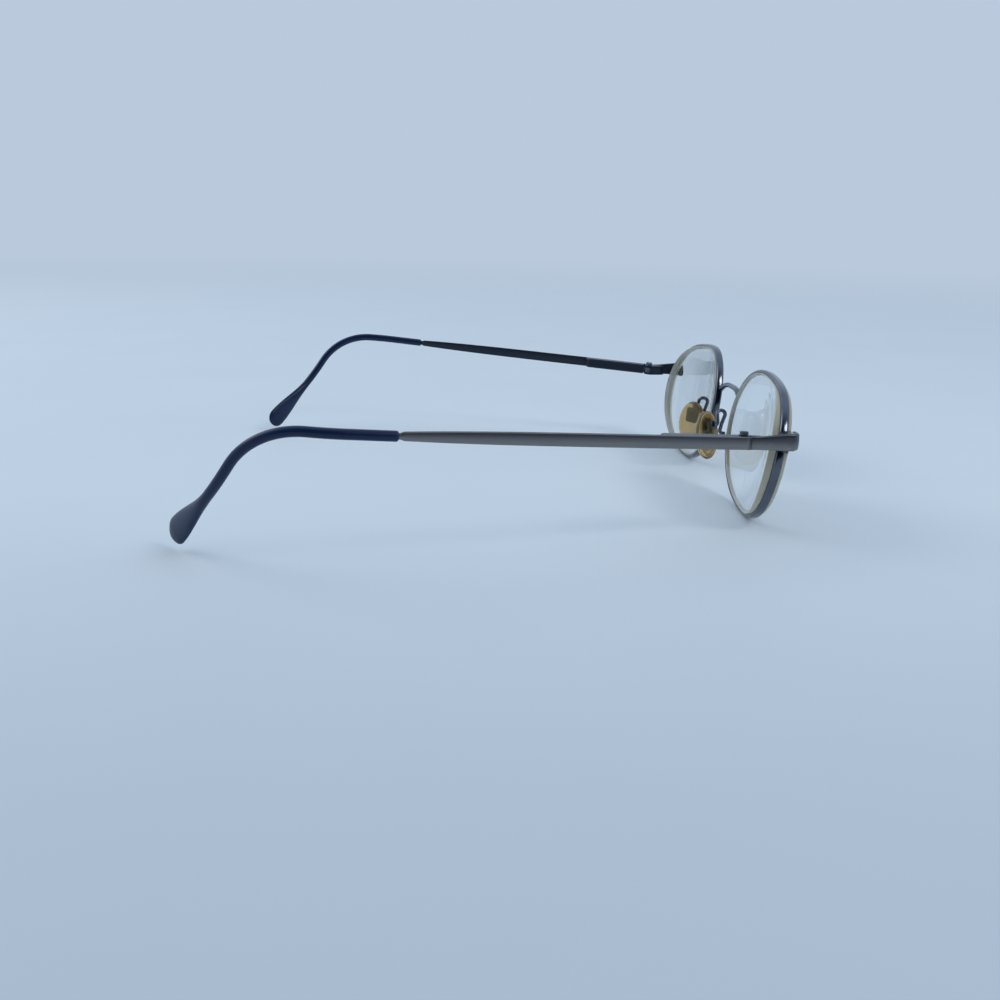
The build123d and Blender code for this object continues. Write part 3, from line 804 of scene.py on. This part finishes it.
# %% [markdown]
# ## Temple tips
# A tip is a plastic sleeve that follows the wire core down behind the ear and widens to a flat paddle.
# Its path is a few straight runs with filleted corners. The tree fillets the path, sweeps a circle
# along it, then squeezes and widens the circle by how far it is from the end.


# %% Tip tree
TIP_CORNERS = [
    (79.665, 19.936, 29.449),
    (82.773, 33.655, 30.533),
    (81.773, 48.657, 31.531),
    (76.583, 58.686, 16.755),
    (63.555, 70.994, 2.976),
]
TIP_BENDS = [0.0, 25.0, 18.5, 36.0, 0.0]


def tip_tree(tree, sizes):
    """Nodes that fillet the tip's path, sweep a circle along it and shape the paddle."""
    radius = add_node(tree, "GeometryNodeInputRadius")
    bends = {"Curve": sizes["Path"], "Radius": radius, "Count": 24, "Limit Radius": True}
    path = add_node(tree, "GeometryNodeFilletCurve", {"mode": "POLY"}, bends)
    path = add_node(tree, "GeometryNodeResampleCurve", {"mode": "COUNT"}, {"Curve": path, "Count": 260})
    path = add_node(tree, "GeometryNodeSetCurveRadius", None, {"Curve": path, "Radius": 1.0})
    place = add_node(tree, "GeometryNodeInputPosition")
    tangent = add_node(tree, "GeometryNodeInputTangent")
    passed = add_node(tree, "GeometryNodeSplineParameter", output="Length")
    kept = []
    for kind, value in (("FLOAT_VECTOR", place), ("FLOAT_VECTOR", tangent), ("FLOAT", passed)):
        title = f"kept {len(kept)}"
        settings = {"data_type": kind, "domain": "POINT"}
        sockets = {"Geometry": path, "Name": title, "Value": value}
        path = add_node(tree, "GeometryNodeStoreNamedAttribute", settings, sockets)
        settings = {"data_type": kind}
        kept.append(add_node(tree, "GeometryNodeInputNamedAttribute", settings, {"Name": title}))
    centre, heading, passed = kept
    whole = add_node(tree, "GeometryNodeCurveLength", None, {"Curve": path})
    circle = {"Resolution": 40, "Radius": 1.0}
    circle = add_node(tree, "GeometryNodeCurvePrimitiveCircle", None, circle)
    tube = {"Curve": path, "Profile Curve": circle, "Fill Caps": True}
    tube = add_node(tree, "GeometryNodeCurveToMesh", None, tube)

    def vector(operation, first, second, output="Vector"):
        settings = {"operation": operation}
        return add_node(tree, "ShaderNodeVectorMath", settings, {0: first, 1: second}, output)

    left = whole - passed
    round_end = sizes["Paddle height"] * 0.5
    share = ((left - round_end) / (sizes["Paddle length"] - round_end)).between(0.0, 1.0)
    to_end = (left / round_end).math("MINIMUM", left / round_end, 1.0)
    closing = (1.0 - (1.0 - to_end) * (1.0 - to_end)) ** 0.5
    from_mouth = (passed / 0.35).math("MINIMUM", passed / 0.35, 1.0)
    mouth = 0.8 + 0.2 * (1.0 - (1.0 - from_mouth) * (1.0 - from_mouth)) ** 0.5
    high = sizes["Paddle height"] + (sizes["Mouth"] - sizes["Paddle height"]) * share
    thick = sizes["Paddle thickness"] + (sizes["Mouth"] - sizes["Paddle thickness"]) * share
    half_high = high * closing * mouth * 0.5
    half_thick = thick * (closing**0.5) * mouth * 0.5
    side = vector("CROSS_PRODUCT", heading, (0.0, 0.0, 1.0))
    side = add_node(tree, "ShaderNodeVectorMath", {"operation": "NORMALIZE"}, {0: side})
    rise = vector("CROSS_PRODUCT", side, heading)
    offset = vector("SUBTRACT", place, centre)
    out = vector("DOT_PRODUCT", offset, side, "Value")
    up = vector("DOT_PRODUCT", offset, rise, "Value")

    def scaled(direction, amount):
        sockets = {0: direction, "Scale": amount}
        return add_node(tree, "ShaderNodeVectorMath", {"operation": "SCALE"}, sockets)

    spot = vector("ADD", scaled(side, out * half_thick), scaled(rise, up * half_high))
    spot = vector("ADD", spot, centre)
    tube = add_node(tree, "GeometryNodeSetPosition", None, {"Geometry": tube, "Position": spot})
    return tube, tip_plastic


tip_sizes = {"Mouth": 2.3, "Paddle height": 6.4, "Paddle thickness": 1.9, "Paddle length": 20.5}
tip_mesh = grow("tip_sweep", TIP_CORNERS, TIP_BENDS, False, tip_sizes, tip_tree)
hand_over(tip_mesh, "temple_tip", "{side}_temple")

# %% [markdown]
# ## Nose pads
# A pad is a small soft lozenge: a crowned face that touches the nose, and a dished back with a raised
# rim, where the metal insert sits. Its section is a short list of widths and heights. Each pair gives one
# oval ring of points, and the rings join into one smooth closed form, as a mould makes it.

# %% Pad shape
PAD_WIDTH = 7.6
PAD_HEIGHT = 13.4
PAD_THICKNESS = 1.9
lean = radians(17.0)
turn = radians(28.0)
pad_up = Vector((-sin(lean), 0, cos(lean)))
level = Vector((-sin(turn), -cos(turn), 0))
pad_ahead = (level - pad_up * level.dot(pad_up)).normalized()
to_nose = pad_ahead.cross(pad_up)
pad_low, pad_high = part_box("left_nose_pad")
pad_frame = matrix_from((pad_low + pad_high) / 2 / MM, pad_ahead, pad_up, to_nose)
PAD_PROFILE = [
    (0.30, -0.29),
    (0.58, -0.30),
    (0.72, -0.36),
    (0.82, -0.50),
    (0.92, -0.50),
    (0.99, -0.36),
    (1.0, -0.05),
    (0.955, 0.27),
    (0.80, 0.43),
    (0.52, 0.495),
    (0.25, 0.50),
]
PAD_POINTS = 40
pad_rings = []
for share, height in PAD_PROFILE:
    ring = []
    for index in range(PAD_POINTS):
        angle = 2 * pi * index / PAD_POINTS
        across = PAD_WIDTH / 2 * share * cos(angle)
        up = PAD_HEIGHT / 2 * share * sin(angle)
        ring.append(Vector((across, up, PAD_THICKNESS * height)))
    pad_rings.append(ring)
pad_mesh = mesh_from_rings("pad_skin", pad_rings, [pad_plastic])
pad_mesh.transform(pad_frame)
hand_over(pad_mesh, "nose_pad", "{side}_nose_pad")

# %% [markdown]
# ## Pieces that keep their CAD shape
# Screws, knuckles, pad boxes and wires already have the right shape, so they only get their finish.
# Flat faces must stay flat, so their shading isn't changed.

# %% Finishes for the CAD pieces
METALS = {
    "bridge": rim_metal,
    "rim_lock_upper": rim_metal,
    "rim_lock_lower": rim_metal,
    "rim_lock_screw": screw_steel,
    # Hinge leaves and spring housings get the near-black painted shade.
    "hinge_leaf": painted_shade_and_wear,
    "hinge_screw": screw_steel,
    "pad_arm": rim_metal,
    "pad_box": rim_metal,
    "pad_screw": screw_steel,
    "spring_plunger": screw_steel,
    "spring_stop": screw_steel,
    "spring_housing": painted_shade_and_wear,
    "spring": screw_steel,
    "pad_insert": screw_steel,
}
for name, material in METALS.items():
    for side in ("left_", "right_", ""):
        node = nodes.get(side + name)
        if node:
            node.data.materials.clear()
            node.data.materials.append(material)
print("finished", len(METALS), "kinds of CAD piece")

# %% [markdown]
# ## Table, light and camera
# The glasses stand on a pale surface in soft daylight. A wide floor with a faint mottle has a painted
# shade that darkens it a little towards the near side. Far away it fades into a glow of the room's own
# colour, so no horizon shows.


# %% Floor
ROOM_SEEN = srgb(186, 202, 220)


def make_floor_finish():
    finish = Finish("pale_table")
    mottle = finish.noise(14.0, 4.0)
    fine = finish.noise(700.0, 3.0)
    colour = finish.mix(mottle, srgb(226, 235, 241), srgb(232, 240, 245))
    # Painted shade: the floor's colour darkens towards the near side.
    painted_shade_near = (finish.x * -1.0).between(0.0, 0.24)
    colour = finish.mix(painted_shade_near * 0.55, colour, srgb(176, 186, 196))
    roughness = 0.6 + fine * 0.1
    normal = finish.bump(fine, 0.00003, 0.1)
    table = finish.surface(Base_Color=colour, Roughness=roughness, Normal=normal, Specular_IOR_Level=0.2)
    glow = finish.node("ShaderNodeEmission", None, {"Color": ROOM_SEEN})
    away = finish.node("ShaderNodeVectorMath", {"operation": "LENGTH"}, {0: finish.place}, "Value")
    distance = away.between(0.2, 1.8) ** 0.7
    return finish.close(finish.node("ShaderNodeMixShader", None, {0: distance, 1: table, 2: glow}))


FLOOR_REACH = 8.0
floor_mesh = bpy.data.meshes.new("table_top")
corners = [(-1, -1), (1, -1), (1, 1), (-1, 1)]
floor_points = [(FLOOR_REACH * x, FLOOR_REACH * y, 0.0) for x, y in corners]
floor_mesh.from_pydata(floor_points, [], [(0, 1, 2, 3)])
floor_mesh.materials.append(make_floor_finish())
floor = bpy.data.objects.new("table_top", floor_mesh)
bpy.context.scene.collection.objects.link(floor)

# %% [markdown]
# Polished metal only looks like metal when the room around it has light and dark parts. The room is
# pale all round, except for a dark patch on the side from which the glasses are looked at, as a person
# standing there makes. The camera sees the room's own pale colour. Two soft lights add the highlights:
# a window low behind the tips and a softbox in front and above.


# %% Room
def make_room():
    world = bpy.data.worlds.new("pale_room")
    world.use_nodes = True
    tree = world.node_tree
    tree.nodes.clear()
    direction = add_node(tree, "ShaderNodeTexCoord", output="Generated")
    dark_way = Vector((-0.93, -0.05, 0.36)).normalized()
    toward = {0: direction, 1: tuple(dark_way)}
    toward = add_node(tree, "ShaderNodeVectorMath", {"operation": "DOT_PRODUCT"}, toward, "Value")
    patch = toward.between(0.25, 0.85)
    settings = {"data_type": "RGBA"}
    lit = add_node(tree, "ShaderNodeMix", settings, {0: patch, 6: ROOM_LIGHT, 7: ROOM_DARK}, 2)
    seen = add_node(tree, "ShaderNodeLightPath", output="Is Camera Ray")
    colour = add_node(tree, "ShaderNodeMix", settings, {0: seen, 6: lit, 7: ROOM_SEEN}, 2)
    shade = add_node(tree, "ShaderNodeBackground", None, {"Color": colour, "Strength": 1.0})
    end = tree.nodes.new("ShaderNodeOutputWorld")
    tree.links.new(shade.socket, end.inputs[0])
    return world


ROOM_LIGHT = srgb(208, 226, 246)
ROOM_DARK = srgb(20, 28, 44)
bpy.context.scene.world = make_room()
bpy.context.scene.view_settings.view_transform = "Standard"


# %% Lights
def soft_light(name, place, size, power, colour):
    """A square area light that points at the glasses."""
    lamp = bpy.data.lights.new(name, "AREA")
    lamp.shape = "SQUARE"
    lamp.size = size
    lamp.energy = power
    lamp.color = colour
    holder = bpy.data.objects.new(name, lamp)
    holder.location = place
    holder.rotation_euler = (-Vector(place)).to_track_quat("-Z", "Y").to_euler()
    bpy.context.scene.collection.objects.link(holder)


soft_light("rear_window", (0.35, 0.9, 0.75), 0.6, 2.5, (1.0, 0.98, 0.96))
soft_light("front_softbox", (-0.55, -0.6, 0.75), 0.28, 2.0, (0.97, 0.98, 1.0))

# %% [markdown]
# The camera looks across the glasses from the wearer's right, a little above the lenses, close enough
# for the near temple to look larger than the far one. Its place is given from the middle of the model.

# %% Camera
CAMERA_PLACE = Vector((-278.904, 9.527, 72.006))
yaw, pitch, roll = -0.05248, 0.27299, 0.01892
view = Vector((cos(yaw) * cos(pitch), sin(yaw) * cos(pitch), -sin(pitch)))
right = view.cross(Vector((0, 0, 1))).normalized()
up = right.cross(view)
turned_right = right * cos(roll) + up * sin(roll)
turned_up = up * cos(roll) - right * sin(roll)
lens_data = bpy.data.cameras.new("camera")
lens_data.sensor_width = 36.0
lens_data.lens = 36.0
lens_data.clip_start = 0.01
lens_data.clip_end = 50.0
camera = bpy.data.objects.new("camera", lens_data)
turn_matrix = Matrix((turned_right, turned_up, -view)).transposed().to_4x4()
camera.matrix_world = Matrix.Translation(CAMERA_PLACE * MM) @ turn_matrix
bpy.context.scene.collection.objects.link(camera)
bpy.context.scene.camera = camera
